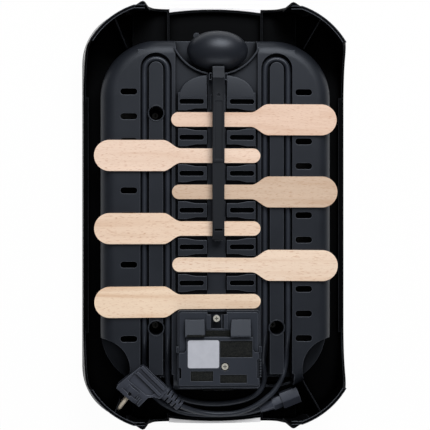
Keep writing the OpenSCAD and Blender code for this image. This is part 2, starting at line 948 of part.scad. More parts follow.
// Half of a spheroid turned about the bowl's long axis
module bowl_solid(half_l, r) {
    translate([0, bowl_y, bowl_rim_z]) rotate([0, 90, 0]) rotate_extrude()
        polygon([for (a = [-90 : 7.5 : 90]) [r * cos(a), half_l * sin(a)]]);
}

// Side outline of the handle, with its step and its sloped neck
module grip_profile() {
    polygon([
        [ladle_end_y, ladle_z], [ladle_end_y, ladle_z + 3.6], [ladle_end_y + 3, ladle_z + 5],
        [ladle_step_y - 2, ladle_z + 5], [ladle_step_y, ladle_z + 6.5], [167, ladle_z + 6.5],
        [169.5, ladle_z + 7.8], [184, ladle_z + 3], [186, ladle_z - 4], [172, ladle_z]
    ]);
}

module ladle() {
    color(satin) translate([ladle_x, 0, 0]) difference() {
        union() {
            bowl_solid(bowl_l / 2, bowl_w / 2);
            rotate([90, 0, 90]) linear_extrude(ladle_grip_w, center = true) grip_profile();
            block([-1.5, ladle_end_y + 1, ladle_foot_z], [1.5, neck_y, ladle_z + 1]);
            block([-5, ladle_end_y - 2, ladle_foot_z], [5, ladle_end_y + 1.5, ladle_z + 3]);
            block([-5, neck_y - 3.5, ladle_foot_z], [5, neck_y + 3.5, ladle_z + 1]);
            // Pouring lip
            translate([-26.4, bowl_y + 17.4, bowl_rim_z]) cylinder(r = 4, h = 5.5, $fn = 32);
        }
        bowl_solid(bowl_l / 2 - bowl_t, bowl_w / 2 - bowl_t);
        translate([-26.4, bowl_y + 17.4, bowl_rim_z - 1]) cylinder(r = 2.6, h = 5, $fn = 32);
        block([-60, 150, 0], [60, 260, bowl_rim_z]);
        block([-5, -19.2, ladle_z + 2], [5, -16.7, ladle_z + 8]);
        translate([0, 148, ladle_z + 5.7]) cylinder(r = 1.8, h = 3);
        // Shallow channel along the top of the handle
        block([-4.6, ladle_step_y + 3, ladle_z + 5.9], [4.6, 141, ladle_z + 8]);
    }
}

// ---- Cord, plug and connector ----

cord_run_z = channel_floor + cord_d / 2 + 0.3;

// One pass up a channel, round its top and down again; s is the side and d is 1 for outer strand first
function strand_up(s, x) = [
    [s * x, -168, 56.2], [s * x, -150, 66.2], [s * x, -135, cord_run_z + 0.4],
    [s * x, -60, cord_run_z], [s * x, 60, cord_run_z], [s * x, 160, cord_run_z]
];
function reversed(list) = [for (i = [len(list) - 1 : -1 : 0]) list[i]];
function channel_pass(s, first, last) = concat(
    strand_up(s, channel_x + first * 14.5),
    [for (a = [0 : 30 : 180]) [
        s * (channel_x + first * 14.2 * cos(a)), channel_top_y + 12.4 * sin(a), cord_run_z
    ]],
    reversed(strand_up(s, channel_x + last * 14.5))
);

plug_route = [
    [-44.5, -238, 66], [-31.6, -243.4, 61.5], [-18.5, -247.4, 58], [-6, -249.5, 56.5], [8, -250.1, 56],
    [25, -248.8, 56.8], [41, -244, 57.6], [53.5, -237.7, 58], [64.5, -229.8, 58], [72.5, -222.6, 57.6],
    [79.6, -212.6, 56.6], [84.8, -203, 55], [88.2, -192.5, 53], [89.8, -181, 53]
];
middle_route = [
    [61.2, -186, 45.5], [63.2, -199, 43], [62.8, -212, 41.5], [57, -224, 41], [44, -232.6, 41],
    [22, -238, 41], [0, -239.6, 41], [-20, -238, 41], [-40, -233, 41], [-52, -226, 41],
    [-58.6, -216, 41.5], [-60.2, -203, 43], [-60.5, -186, 45.5]
];
connector_route = [
    [-89.8, -184, 46.5], [-89.5, -198, 43.5], [-86.4, -212, 41.5], [-79, -226.5, 41], [-68, -237, 41],
    [-56, -244.3, 41], [-44, -249.4, 41], [-28, -252.6, 41.5], [0, -253.8, 42], [26, -252.8, 42.5],
    [42, -250.4, 44.2], [57.6, -246, 46.3]
];
cord_route = concat(
    plug_route, channel_pass(1, 1, -1), middle_route, channel_pass(-1, -1, 1), connector_route
);

function unit(v) = v / norm(v);
function heading(path, i) = unit(path[min(i + 1, len(path) - 1)] - path[max(i - 1, 0)]);
function ring(at, along, r, sides) =
    let (across = unit(cross(along, [0, 0, 1])), up = cross(across, along))
    [for (k = [0 : sides - 1]) at + r * (cos(360 * k / sides) * across + sin(360 * k / sides) * up)];

module tube(path, r, sides) {
    rings = len(path);
    points = [for (i = [0 : rings - 1]) each ring(path[i], heading(path, i), r, sides)];
    walls = [for (i = [0 : rings - 2], k = [0 : sides - 1]) [
        i * sides + k, i * sides + (k + 1) % sides,
        (i + 1) * sides + (k + 1) % sides, (i + 1) * sides + k
    ]];
    caps = [
        [for (k = [sides - 1 : -1 : 0]) k],
        [for (k = [0 : sides - 1]) (rings - 1) * sides + k]
    ];
    polyhedron(points, concat(walls, caps));
}

module mains_cord() {
    color(black) tube(cord_route, cord_d / 2, 10);
}

plug_z = 66;
plug_turn = 230;

// Places children at the middle of the plug's face, with x along the pins
module at_plug() {
    translate([-110.5, -225.9, plug_z]) rotate([0, 0, plug_turn]) children();
}

// Moulded body of the plug, in a frame with its face at x = 0 and the cord leaving along y
plug_outline = [
    [0, -18.3], [-5, -19.4], [-38, -13], [-42.3, -9.6], [-43.5, -4], [-40.5, 30.5], [-38.5, 32.5],
    [-24.5, 31.5], [-21.5, 25], [-16, 19.4], [0, 18]
];

module plug_block(z0, z1) {
    at_plug() translate([0, 0, z0]) linear_extrude(z1 - z0) polygon(plug_outline);
}

module plug_body() {
    color(satin) difference() {
        union() {
            plug_block(-12.5, 10.5);
            at_plug() {
                // Round flange of the face
                rotate([0, -90, 0]) cylinder(r = 16.5, h = 5);
                rotate([0, -90, 0]) cylinder(r = 14, h = 14);
                // Raised rails along the back
                for (x = [-41.3, -32.4]) translate([x, 0, 10]) rotate([0, 0, -5]) slot_rail();
                // Fine grip ribs on the lower side of the flange
                for (y = [8, 10.6, 13.2]) block([-9.5, y, 10], [-1.5, y + 1.3, 12.6]);
            }
        }
        at_plug() {
            // Sunk panel between the flange and the rails
            translate([0, 0, 9.4]) linear_extrude(5)
                polygon([[-17, -13], [-28.5, -13.5], [-27, 23], [-20.5, 21], [-17, 15]]);
            block([-7.4, -3.4, 11.5], [-3.6, 0.6, 40]);
            for (s = [-1, 1]) translate([-1, 0, s * pin_gap]) rotate([0, 90, 0]) cylinder(r = pin_r, h = 8);
        }
    }
}

module slot_rail() {
    translate([0, -11, 0]) cube([3.6, 40, 2.6]);
}

pin_r = 2.4;
pin_gap = 9.5;

module plug_pins() {
    color(silver) at_plug() for (s = [-1, 1]) translate([-1, 0, s * pin_gap]) rotate([0, 90, 0]) {
        cylinder(r = pin_r, h = 18, $fn = 32);
        translate([0, 0, 18 - eps]) cylinder(r1 = pin_r, r2 = 1.2, h = 1.8, $fn = 32);
    }
}

relief_turn = -39.7;

module plug_strain_relief() {
    color(satin) difference() {
        translate([-64.6, -221.3, plug_z]) rotate([0, 0, relief_turn]) rotate([0, 90, 0]) difference() {
            cylinder(r1 = 8.5, r2 = 7.2, h = 25.4, $fn = 48);
            for (i = [0 : 6]) translate([0, 0, 2.6 + 3 * i]) difference() {
                translate([0, i % 2 == 0 ? 5.6 : -5.6, 1]) cube([24, 9.6, 2], center = true);
                translate([0, 0, -1]) cylinder(r = 3.8, h = 5);
            }
        }
        plug_block(-14, 14);
    }
}

connector_turn = 21.4;
connector_z = 46.3;

module at_connector() {
    translate([57.6, -246, connector_z]) rotate([0, 0, connector_turn]) children();
}

// Cross-section of the connector, with a ridge along its top
module connector_section(half_w, half_h, ridge) {
    polygon([
        [-half_w, -half_h], [half_w, -half_h], [half_w, half_h - 3.6],
        [ridge, half_h], [ridge - 1.6, half_h], [-half_w, half_h - 5]
    ]);
}

module connector_body() {
    color(satin) at_connector() difference() {
        union() {
            translate([29, 0, 0]) rotate([90, 0, 90]) linear_extrude(23) connector_section(10, 8.7, 0.5);
            translate([17, 0, 0]) rotate([90, 0, 90]) linear_extrude(13) connector_section(7.6, 7.6, 0.5);
        }
        for (pin = [[-5.5, -2], [0, 1.5], [5.5, -2]])
            block([36, pin[0] - 1.1, pin[1] - 2.6], [60, pin[0] + 1.1, pin[1] + 2.6]);
    }
}

module connector_strain_relief() {
    color(satin) at_connector() rotate([0, 90, 0]) cylinder(r1 = 4.4, r2 = 6.8, h = 17, $fn = 48);
}

storage_tray();
side_shell_left();
side_shell_right();
end_shell_top();
end_shell_bottom();
handle_trim_top();
handle_trim_bottom();
plate_collar();
cooking_plate();
heating_element();
element_brackets();
heat_shield();
thermostat();
thermal_fuse();
internal_wiring();
control_housing();
housing_cover();
rating_plate();
housing_screws();
appliance_inlet();
inlet_pins();
case_screws();
foot_pads();
ladle_clips();
mains_cord();
plug_body();
plug_pins();
plug_strain_relief();
connector_body();
connector_strain_relief();
spatula_1();
spatula_2();
spatula_3();
spatula_4();
spatula_5();
spatula_6();
ladle();
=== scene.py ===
"""Looks of the upside-down crepe maker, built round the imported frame.

Camera, the flexible cord, materials, fine tray pieces, floor and light, in that order.
"""
import json
import math

import bmesh
import bpy
from mathutils import Matrix, Vector


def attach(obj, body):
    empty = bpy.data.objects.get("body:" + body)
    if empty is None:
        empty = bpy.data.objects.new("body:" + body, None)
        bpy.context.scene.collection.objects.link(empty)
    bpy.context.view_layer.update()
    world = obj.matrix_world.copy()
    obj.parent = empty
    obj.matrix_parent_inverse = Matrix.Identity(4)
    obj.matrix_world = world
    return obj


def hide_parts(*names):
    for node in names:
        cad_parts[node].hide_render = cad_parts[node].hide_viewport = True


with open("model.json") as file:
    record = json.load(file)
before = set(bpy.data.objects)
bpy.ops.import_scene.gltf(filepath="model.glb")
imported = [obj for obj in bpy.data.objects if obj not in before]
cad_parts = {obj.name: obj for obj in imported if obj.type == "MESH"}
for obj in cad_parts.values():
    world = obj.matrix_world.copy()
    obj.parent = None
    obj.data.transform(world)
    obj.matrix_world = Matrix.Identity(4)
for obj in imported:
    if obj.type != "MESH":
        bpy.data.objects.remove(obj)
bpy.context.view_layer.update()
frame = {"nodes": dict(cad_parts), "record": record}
nodes = frame["nodes"]
scene = bpy.context.scene
MM = 0.001
WHITE = (1.0, 1.0, 1.0)


def new_object(name, data):
    piece = bpy.data.objects.new(name, data)
    scene.collection.objects.link(piece)
    return piece


# ---------------------------------------------------------------- camera

CAMERA_AT = Vector((-0.1117, 0.0003, 1.605))
CAMERA_AIM = Vector((-0.0393, 0.0003, 0.07))
LENS_MM = 103.3
SENSOR_MM = 36
FRAME_SHIFT = 0.07  # sideways lens shift in frame widths, so that the camera tilts less


def make_camera():
    """Long lens above the tray, its picture's top towards +Y."""
    data = bpy.data.cameras.new("camera")
    data.lens = LENS_MM
    data.sensor_width = SENSOR_MM
    data.shift_x = FRAME_SHIFT
    camera = new_object("camera", data)
    back = (CAMERA_AT - CAMERA_AIM).normalized()
    up = Vector((0, 1, 0))
    right = up.cross(back).normalized()
    up = back.cross(right)
    turn = Matrix((right, up, back)).transposed().to_4x4()
    camera.matrix_world = Matrix.Translation(CAMERA_AT) @ turn
    scene.camera = camera


make_camera()

# ---------------------------------------------------------------- cord

# The route repeats the source's own, in millimetres. Two strands run in each of the tray's channels.
CORD_DIAMETER = 6.6 * MM
CHANNEL_X = 75.3
CHANNEL_TOP_Y = 182.4
STRAND_OFFSET = 14.5
TURN_X = 14.2
TURN_Y = 12.4
TURN_STEP = 30
RUN_Z = 68.0
HANDLE_SHARE = 0.36

PLUG_ROUTE = [
    (-44.5, -238, 66), (-31.6, -243.4, 61.5), (-18.5, -247.4, 58), (-6, -249.5, 56.5), (8, -250.1, 56),
    (25, -248.8, 56.8), (41, -244, 57.6), (53.5, -237.7, 58), (64.5, -229.8, 58), (72.5, -222.6, 57.6),
    (79.6, -212.6, 56.6), (84.8, -203, 55), (88.2, -192.5, 53), (89.8, -181, 53),
]
MIDDLE_ROUTE = [
    (61.2, -186, 45.5), (63.2, -199, 43), (62.8, -212, 41.5), (57, -224, 41), (44, -232.6, 41),
    (22, -238, 41), (0, -239.6, 41), (-20, -238, 41), (-40, -233, 41), (-52, -226, 41),
    (-58.6, -216, 41.5), (-60.2, -203, 43), (-60.5, -186, 45.5),
]
CONNECTOR_ROUTE = [
    (-89.8, -184, 46.5), (-89.5, -198, 43.5), (-86.4, -212, 41.5), (-79, -226.5, 41), (-68, -237, 41),
    (-56, -244.3, 41), (-44, -249.4, 41), (-28, -252.6, 41.5), (0, -253.8, 42), (26, -252.8, 42.5),
    (42, -250.4, 44.2), (57.6, -246, 46.3),
]


def strand_up(side, x):
    """One pass of the cord up a channel, from the ramp at its open end."""
    return [
        (side * x, -168, 56.2), (side * x, -150, 66.2), (side * x, -135, RUN_Z + 0.4),
        (side * x, -60, RUN_Z), (side * x, 60, RUN_Z), (side * x, 160, RUN_Z),
    ]


def channel_pass(side, first, last):
    """Up a channel on one strand, round its top, and down on the other."""
    turn = []
    for degrees in range(0, 181, TURN_STEP):
        angle = math.radians(degrees)
        x = CHANNEL_X + first * TURN_X * math.cos(angle)
        turn.append((side * x, CHANNEL_TOP_Y + TURN_Y * math.sin(angle), RUN_Z))
    up = strand_up(side, CHANNEL_X + first * STRAND_OFFSET)
    down = strand_up(side, CHANNEL_X + last * STRAND_OFFSET)[::-1]
    return up + turn + down


def cord_points():
    """The whole route in metres, from the plug to the appliance connector."""
    right_lane = channel_pass(1, 1, -1)
    left_lane = channel_pass(-1, -1, 1)
    points = PLUG_ROUTE + right_lane + MIDDLE_ROUTE + left_lane + CONNECTOR_ROUTE
    return [Vector(p) * MM for p in points]


def smooth_curve(name, points, radius):
    """Round Bezier tube through the points, with handles along each point's own direction.

    The radius sits on the knots and the bevel is 1, which keeps the curve's bound box true.
    """
    curve = bpy.data.curves.new(name, "CURVE")
    curve.dimensions = "3D"
    curve.bevel_depth = 1.0
    curve.bevel_resolution = 5
    curve.resolution_u = 8
    curve.use_fill_caps = True
    spline = curve.splines.new("BEZIER")
    spline.bezier_points.add(len(points) - 1)
    for i, point in enumerate(points):
        before = points[max(i - 1, 0)]
        after = points[min(i + 1, len(points) - 1)]
        along = (after - before).normalized()
        knot = spline.bezier_points[i]
        knot.co = point
        knot.radius = radius
        knot.handle_left_type = knot.handle_right_type = "FREE"
        knot.handle_left = point - along * (point - before).length * HANDLE_SHARE
        knot.handle_right = point + along * (after - point).length * HANDLE_SHARE
    return new_object(name, curve)


route = cord_points()
cord = smooth_curve("mains_cord_flex", route, CORD_DIAMETER / 2)
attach(cord, "root")
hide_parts("mains_cord")

# ---------------------------------------------------------------- materials


class Shader:
    """Small helper that builds one Principled material node by node."""

    def __init__(self, name, color, roughness, metallic=0.0, specular=0.5):
        self.material = bpy.data.materials.new(name)
        self.material.use_nodes = True
        self.tree = self.material.node_tree
        self.principled = self.tree.nodes["Principled BSDF"]
        self.set("Base Color", (*color, 1))
        self.set("Roughness", roughness)
        self.set("Metallic", metallic)
        self.set("Specular IOR Level", specular)
        self.bump_out = None
        self.coords = self.node("ShaderNodeTexCoord").outputs["Object"]

    def set(self, socket, value):
        self.principled.inputs[socket].default_value = value

    def node(self, kind, **settings):
        made = self.tree.nodes.new(kind)
        for key, value in settings.items():
            setattr(made, key, value)
        return made

    def link(self, a, b):
        self.tree.links.new(a, b)

    def mapped(self, scale, offset=(0, 0, 0), rotation=(0, 0, 0)):
        mapping = self.node("ShaderNodeMapping")
        mapping.inputs["Scale"].default_value = scale
        mapping.inputs["Location"].default_value = offset
        mapping.inputs["Rotation"].default_value = rotation
        self.link(self.coords, mapping.inputs["Vector"])
        return mapping.outputs["Vector"]

    def noise(self, scale, detail=3.0, roughness=0.5, vector=None, distortion=0.0):
        noise = self.node("ShaderNodeTexNoise")
        noise.inputs["Scale"].default_value = scale
        noise.inputs["Detail"].default_value = detail
        noise.inputs["Roughness"].default_value = roughness
        noise.inputs["Distortion"].default_value = distortion
        self.link(vector or self.coords, noise.inputs["Vector"])
        return noise.outputs["Fac"]

    def ramp(self, value, stops):
        ramp = self.node("ShaderNodeValToRGB")
        elements = ramp.color_ramp.elements
        while len(elements) < len(stops):
            elements.new(0.5)
        for element, (position, color) in zip(elements, stops):
            element.position = position
            element.color = (*color, 1)
        self.link(value, ramp.inputs["Fac"])
        return ramp.outputs["Color"]

    def remap(self, value, low, high, from_low=0.0, from_high=1.0):
        remap = self.node("ShaderNodeMapRange")
        remap.inputs["From Min"].default_value = from_low
        remap.inputs["From Max"].default_value = from_high
        remap.inputs["To Min"].default_value = low
        remap.inputs["To Max"].default_value = high
        self.link(value, remap.inputs["Value"])
        return remap.outputs["Result"]

    def math(self, operation, a, b):
        made = self.node("ShaderNodeMath", operation=operation)
        for socket, value in zip(made.inputs, (a, b)):
            if isinstance(value, (int, float)):
                socket.default_value = value
            else:
                self.link(value, socket)
        return made.outputs["Value"]

    def mix(self, factor, a, b):
        """Colour mix; inputs 6 and 7 and output 2 are the node's colour sockets."""
        made = self.node("ShaderNodeMix", data_type="RGBA")
        sockets = (made.inputs["Factor"], made.inputs[6], made.inputs[7])
        for socket, value in zip(sockets, (factor, a, b)):
            if isinstance(value, (int, float)):
                socket.default_value = value
            elif isinstance(value, tuple):
                socket.default_value = (*value, 1)
            else:
                self.link(value, socket)
        return made.outputs[2]

    def color(self, output):
        self.link(output, self.principled.inputs["Base Color"])

    def round_edges(self, radius):
        """Shades every edge as a small moulded radius, before any bump."""
        made = self.node("ShaderNodeBevel", samples=6)
        made.inputs["Radius"].default_value = radius
        self.bump_out = made.outputs["Normal"]

    def edge_mask(self):
        """1 along every edge that round_edges turned, 0 on the open face."""
        plain = self.node("ShaderNodeNewGeometry").outputs["Normal"]
        dot = self.node("ShaderNodeVectorMath", operation="DOT_PRODUCT")
        self.link(self.bump_out, dot.inputs[0])
        self.link(plain, dot.inputs[1])
        return self.remap(dot.outputs["Value"], 1.0, 0.0, 0.86, 0.995)

    def painted_shade_factor(self, reach):
        """Factor for painted shade: 1 in the open, falling to 0 in corners and slots."""
        made = self.node("ShaderNodeAmbientOcclusion", samples=6, only_local=True)
        made.inputs["Distance"].default_value = reach
        return self.remap(made.outputs["AO"], 0.0, 1.0, 0.42, 0.93)

    def roughness(self, output):
        self.link(output, self.principled.inputs["Roughness"])

    def bump(self, height, distance, strength=1.0):
        made = self.node("ShaderNodeBump")
        made.inputs["Strength"].default_value = strength
        made.inputs["Distance"].default_value = distance
        self.link(height, made.inputs["Height"])
        if self.bump_out is not None:
            self.link(self.bump_out, made.inputs["Normal"])
        self.bump_out = made.outputs["Normal"]
        self.link(self.bump_out, self.principled.inputs["Normal"])


EDGE_RADIUS = 0.0011
COOL_GLOSS = (0.84, 0.9, 1.0)
# Pale tone of the edges: part abrasion, part painted highlight.
EDGE_WEAR_AND_HIGHLIGHT = (0.12, 0.132, 0.16)
DUST = 0.12  # how much paler than its own colour the dustiest plastic is
MOULDED_SPECULAR = 0.36
SPARK_GRAIN = 2600  # noise scale of the fine spark-eroded grain on moulded faces
CORNER_REACH = 0.014  # how far the painted shade of a corner reaches into the plastic beside it
CORNER_TONE = 0.1  # colour left in the deepest corner by the painted shade


def scaled(color, factor):
    return tuple(c * factor for c in color)


def plastic_base(name, color, roughness, specular, edge_wear_and_highlight=0.8):
    """Shared start of the black plastics: cool gloss, rounded edges, and a cloudy colour.

    Edges pale as abrasion and painted highlight; colour and gloss darken in corners and slots as painted
    shade.
    """
    shader = Shader(name, color, roughness, specular=specular)
    shader.round_edges(EDGE_RADIUS)
    clouds = shader.noise(18, 4, 0.6)
    tone = shader.ramp(clouds, [(0.3, scaled(color, 0.88)), (0.72, scaled(color, 1 + DUST))])
    unshaded = shader.painted_shade_factor(CORNER_REACH)
    wear_and_highlight = shader.math("MULTIPLY", shader.math("MULTIPLY", shader.edge_mask(), unshaded), edge_wear_and_highlight)
    # Paler edges: part abrasion, part painted highlight.
    tone = shader.mix(wear_and_highlight, tone, EDGE_WEAR_AND_HIGHLIGHT)
    # Painted shade: the colour darkens in corners and slots.
    tone = shader.mix(unshaded, scaled(color, CORNER_TONE), tone)
    # Painted shade on the gloss too: its tint darkens in corners and slots.
    gloss_tint_with_shade = shader.mix(unshaded, scaled(COOL_GLOSS, 0.12), COOL_GLOSS)
    shader.link(gloss_tint_with_shade, shader.principled.inputs["Specular Tint"])
    return shader, clouds, tone


def moulded_plastic(name, color, roughness, grain=0.00006):
    """Black moulded plastic: fine spark grain, slow changes of gloss, and scuffs from handling."""
    shader, clouds, tone = plastic_base(name, color, roughness, MOULDED_SPECULAR)
    shader.color(tone)
    scuffs = shader.noise(60, 5, 0.65, shader.mapped((1, 0.25, 1), rotation=(0, 0, 0.5)))
    cloud_part = shader.math("MULTIPLY", clouds, 0.1)
    scuff_part = shader.math("MULTIPLY", scuffs, 0.1)
    shader.roughness(shader.math("ADD", shader.math("ADD", cloud_part, scuff_part), roughness - 0.1))
    shader.bump(shader.noise(SPARK_GRAIN, 2, 0.5), grain, 0.5)
    shader.bump(shader.noise(9, 2, 0.4), 0.0006, 0.12)
    return shader.material


BOWL_START_Y = (0.181, 0.187)  # the ladle's finish changes between these


def ladle_plastic(name, color):
    """Ladle: polished bowl, and a darker handle with a duller moulded finish."""
    shader, clouds, tone = plastic_base(name, color, 0.4, 0.42)
    axes = shader.node("ShaderNodeSeparateXYZ")
    shader.link(shader.coords, axes.inputs["Vector"])
    bowl = shader.remap(axes.outputs["Y"], 0.0, 1.0, *BOWL_START_Y)
    handle_tone = shader.mix(0.68, tone, scaled(color, CORNER_TONE))
    shader.color(shader.mix(bowl, handle_tone, tone))
    finish = shader.remap(bowl, 0.6, 0.38)
    shader.roughness(shader.math("ADD", shader.math("MULTIPLY", clouds, 0.05), finish))
    shader.bump(shader.noise(SPARK_GRAIN, 2, 0.5), 0.00005, 0.5)
    return shader.material


def patch_mask(shader, patches):
    """1 inside any of the rectangles x0, y0, x1, y1 in millimetres, 0 elsewhere."""
    axes = shader.node("ShaderNodeSeparateXYZ")
    shader.link(shader.coords, axes.inputs["Vector"])
    mask = None
    for x0, y0, x1, y1 in patches:
        sides = [
            shader.math("GREATER_THAN", axes.outputs["X"], x0 * MM),
            shader.math("LESS_THAN", axes.outputs["X"], x1 * MM),
            shader.math("GREATER_THAN", axes.outputs["Y"], y0 * MM),
            shader.math("LESS_THAN", axes.outputs["Y"], y1 * MM),
        ]
        inside = sides[0]
        for side in sides[1:]:
            inside = shader.math("MULTIPLY", inside, side)
        mask = inside if mask is None else shader.math("MAXIMUM", mask, inside)
    return mask


def cover_plastic(name, color, roughness, patches):
    """Moulded plastic whose sunk panels carry a coarse spark-eroded texture."""
    shader, _, plain = plastic_base(name, color, roughness, MOULDED_SPECULAR)
    mask = patch_mask(shader, patches)
    pits = shader.noise(950, 3, 0.62)
    rough = shader.ramp(pits, [(0.42, (0.0004, 0.0004, 0.0003)), (0.64, (0.016, 0.0165, 0.0125))])
    shader.color(shader.mix(mask, plain, rough))
    shader.roughness(shader.math("ADD", shader.math("MULTIPLY", mask, 0.35), roughness))
    shader.bump(shader.noise(SPARK_GRAIN, 2, 0.5), 0.00006, 0.5)
    shader.bump(shader.math("MULTIPLY", mask, pits), 0.0008, 0.9)
    return shader.material


def shell_plastic(name, color):
    """Deep black shell: a thin coat that is glossier on the outside walls than inside.

    A face looks outwards where its normal points away from the object's middle, seen from above.
    """
    shader, clouds, tone = plastic_base(name, color, 0.42, 0.05, edge_wear_and_highlight=0.3)
    shader.color(tone)
    flat = shader.node("ShaderNodeVectorMath", operation="MULTIPLY")
    flat.inputs[1].default_value = (1, 1, 0)
    shader.link(shader.coords, flat.inputs[0])
    facing = shader.node("ShaderNodeVectorMath", operation="DOT_PRODUCT")
    shader.link(flat.outputs["Vector"], facing.inputs[0])
    shader.link(shader.node("ShaderNodeTexCoord").outputs["Normal"], facing.inputs[1])
    outside = shader.remap(facing.outputs["Value"], 0.0, 0.7, 0.02, 0.06)
    shader.link(outside, shader.principled.inputs["Coat Weight"])
    shader.set("Coat Roughness", 0.16)
    shader.roughness(shader.remap(clouds, 0.36, 0.5))
    shader.bump(shader.noise(9, 2, 0.4), 0.0006, 0.12)
    return shader.material


def painted_silver(name):
    """Pale silver lacquer under a clear coat, with a fine flake."""
    shader = Shader(name, (0.92, 0.92, 0.94), 0.3, metallic=0.05)
    shader.set("Coat Weight", 0.4)
    shader.set("Coat Roughness", 0.08)
    shader.round_edges(0.0008)
    flake = shader.noise(3800, 2, 0.5)
    shader.color(shader.ramp(flake, [(0.35, (0.89, 0.89, 0.91)), (0.65, (0.95, 0.95, 0.97))]))
    shader.roughness(shader.remap(shader.noise(30, 3, 0.6), 0.22, 0.36))
    shader.bump(flake, 0.00002, 0.4)
    return shader.material


def beech(name, tone, seed):
    """Bare beech: long soft grain along X, short dark ray flecks, and a slightly raised fibre."""
    shader = Shader(name, tone, 0.62, specular=0.28)
    shift = (seed * 0.37, seed * 0.19, seed * 0.11)
    bands = shader.noise(1, 4, 0.55, shader.mapped((4, 75, 60), shift), 0.6)
    fibres = shader.noise(1, 3, 0.6, shader.mapped((40, 1500, 900), shift))
    patches = shader.noise(1, 2, 0.5, shader.mapped((14, 30, 20), shift))
    flecks = shader.noise(1, 2, 0.5, shader.mapped((170, 1300, 900), shift))
    light = scaled(tone, 1.07)
    dark = (tone[0] * 0.84, tone[1] * 0.74, tone[2] * 0.66)
    base = shader.ramp(bands, [(0.25, dark), (0.5, tone), (0.78, light)])
    base = shader.mix(shader.remap(patches, 0.0, 0.35, 0.35, 0.75), base, scaled(tone, 0.93))
    base = shader.mix(shader.remap(fibres, 0.0, 0.28, 0.45, 0.75), base, dark)
    fleck_mask = shader.remap(flecks, 0.0, 0.7, 0.58, 0.7)
    fleck = (tone[0] * 0.66, tone[1] * 0.46, tone[2] * 0.34)
    base = shader.mix(fleck_mask, base, fleck)
    shader.color(base)
    shader.roughness(shader.remap(fibres, 0.52, 0.74))
    shader.bump(fibres, 0.00007, 0.5)
    return shader.material


def turned_metal(name, color, roughness, metallic=1.0):
    """Metal with a mottled tone, and painted shade in its slots and round its rim."""
    shader = Shader(name, color, roughness, metallic=metallic)
    tone = shader.ramp(shader.noise(220, 3, 0.6), [(0.3, scaled(color, 0.82)), (0.7, color)])
    # Painted shade: nearly black in slots and round the rim.
    shader.color(shader.mix(shader.painted_shade_factor(0.003), scaled(color, 0.04), tone))
    shader.roughness(shader.remap(shader.noise(400, 3, 0.6), roughness - 0.08, roughness + 0.1))
    shader.bump(shader.noise(1500, 2, 0.5), 0.00003, 0.4)
    return shader.material


def rubber(name, color, roughness, edge_radius=0.0006):
    """Soft PVC or rubber whose edges are paler, as abrasion and painted highlight, with painted shade in
    its corners.
    """
    shader = Shader(name, color, roughness, specular=0.4)
    shader.set("Specular Tint", (*COOL_GLOSS, 1))
    shader.round_edges(edge_radius)
    unshaded = shader.painted_shade_factor(0.006)
    clouds = shader.noise(40, 4, 0.6)
    tone = shader.ramp(clouds, [(0.3, scaled(color, 0.85)), (0.7, scaled(color, 1.12))])
    rubbed_and_highlit = shader.math("MULTIPLY", shader.edge_mask(), unshaded)
    # Paler edges: part abrasion from rubbing, part painted highlight.
    tone = shader.mix(rubbed_and_highlit, tone, scaled(EDGE_WEAR_AND_HIGHLIGHT, 1.3))
    # Painted shade: the colour darkens in corners and slots.
    shader.color(shader.mix(unshaded, scaled(color, CORNER_TONE), tone))
    shader.roughness(shader.remap(shader.noise(90, 4, 0.6), roughness - 0.07, roughness + 0.08))
    shader.bump(shader.noise(1900, 2, 0.5), 0.00005, 0.5)
    return shader.material


def label_foil(name):
    """Plain foil plate with a faint mottle, and nothing written on it."""
    shader = Shader(name, (0.5, 0.515, 0.575), 0.42)
    mottle = shader.noise(120, 3, 0.5)
    shader.color(shader.ramp(mottle, [(0.3, (0.45, 0.465, 0.52)), (0.7, (0.495, 0.51, 0.565))]))
    shader.roughness(shader.remap(shader.noise(200, 3, 0.6), 0.34, 0.5))
    shader.bump(shader.noise(900, 2, 0.5), 0.00003, 0.4)
    return shader.material


# Sunk rough panels of the housing cover: x0, y0, x1, y1 in millimetres
COVER_PATCHES = [
    (3.3, -175.3, 43.4, -155), (-33, -204.5, -5.3, -192.2), (3.3, -206.9, 36.4, -196.9),
    (-14.5, -149.5, 16, -142), (-38, -150.5, -16, -147),
]
SATIN = (0.0122, 0.0143, 0.0194)
SHELL_BLACK = (0.0009, 0.0009, 0.001)
MATERIALS = {
    "satin_plastic": moulded_plastic("satin_plastic", SATIN, 0.46),
    "body_plastic": shell_plastic("body_plastic", SHELL_BLACK),
    "ladle_plastic": ladle_plastic("ladle_plastic", (0.0115, 0.0135, 0.0185)),
    "trim_plastic": painted_silver("trim_plastic"),
    "plate_coating": moulded_plastic("plate_coating", (0.012, 0.012, 0.013), 0.5, grain=0.0001),
    "sheath_steel": turned_metal("sheath_steel", (0.32, 0.29, 0.26), 0.45),
    "sheet_steel": turned_metal("sheet_steel", (0.58, 0.58, 0.57), 0.34),
    "cord_rubber": rubber("cord_rubber", (0.022, 0.0255, 0.034), 0.38),
    "plug_rubber": rubber("plug_rubber", (0.04, 0.0445, 0.06), 0.4, edge_radius=0.0009),
    "label_foil": label_foil("label_foil"),
    "screw_steel": turned_metal("screw_steel", (0.72, 0.7, 0.62), 0.3, metallic=0.45),
    "pin_brass": turned_metal("pin_brass", (0.86, 0.76, 0.62), 0.26, metallic=0.35),
    "pad_rubber": rubber("pad_rubber", (0.006, 0.006, 0.007), 0.6),
    "cover_plastic": cover_plastic("cover_plastic", scaled(SATIN, 1.75), 0.46, COVER_PATCHES),
    # Near-black heat shield, seen through the tray's openings: painted shade.
    "heat_shield_painted_shade": turned_metal("heat_shield_painted_shade", (0.035, 0.034, 0.034), 0.55),
    # Darker copy of the screw steel for the screws deep in their wells: painted shade.
    "case_screw_painted_shade": turned_metal("case_screw_painted_shade", (0.24, 0.24, 0.23), 0.4),
}
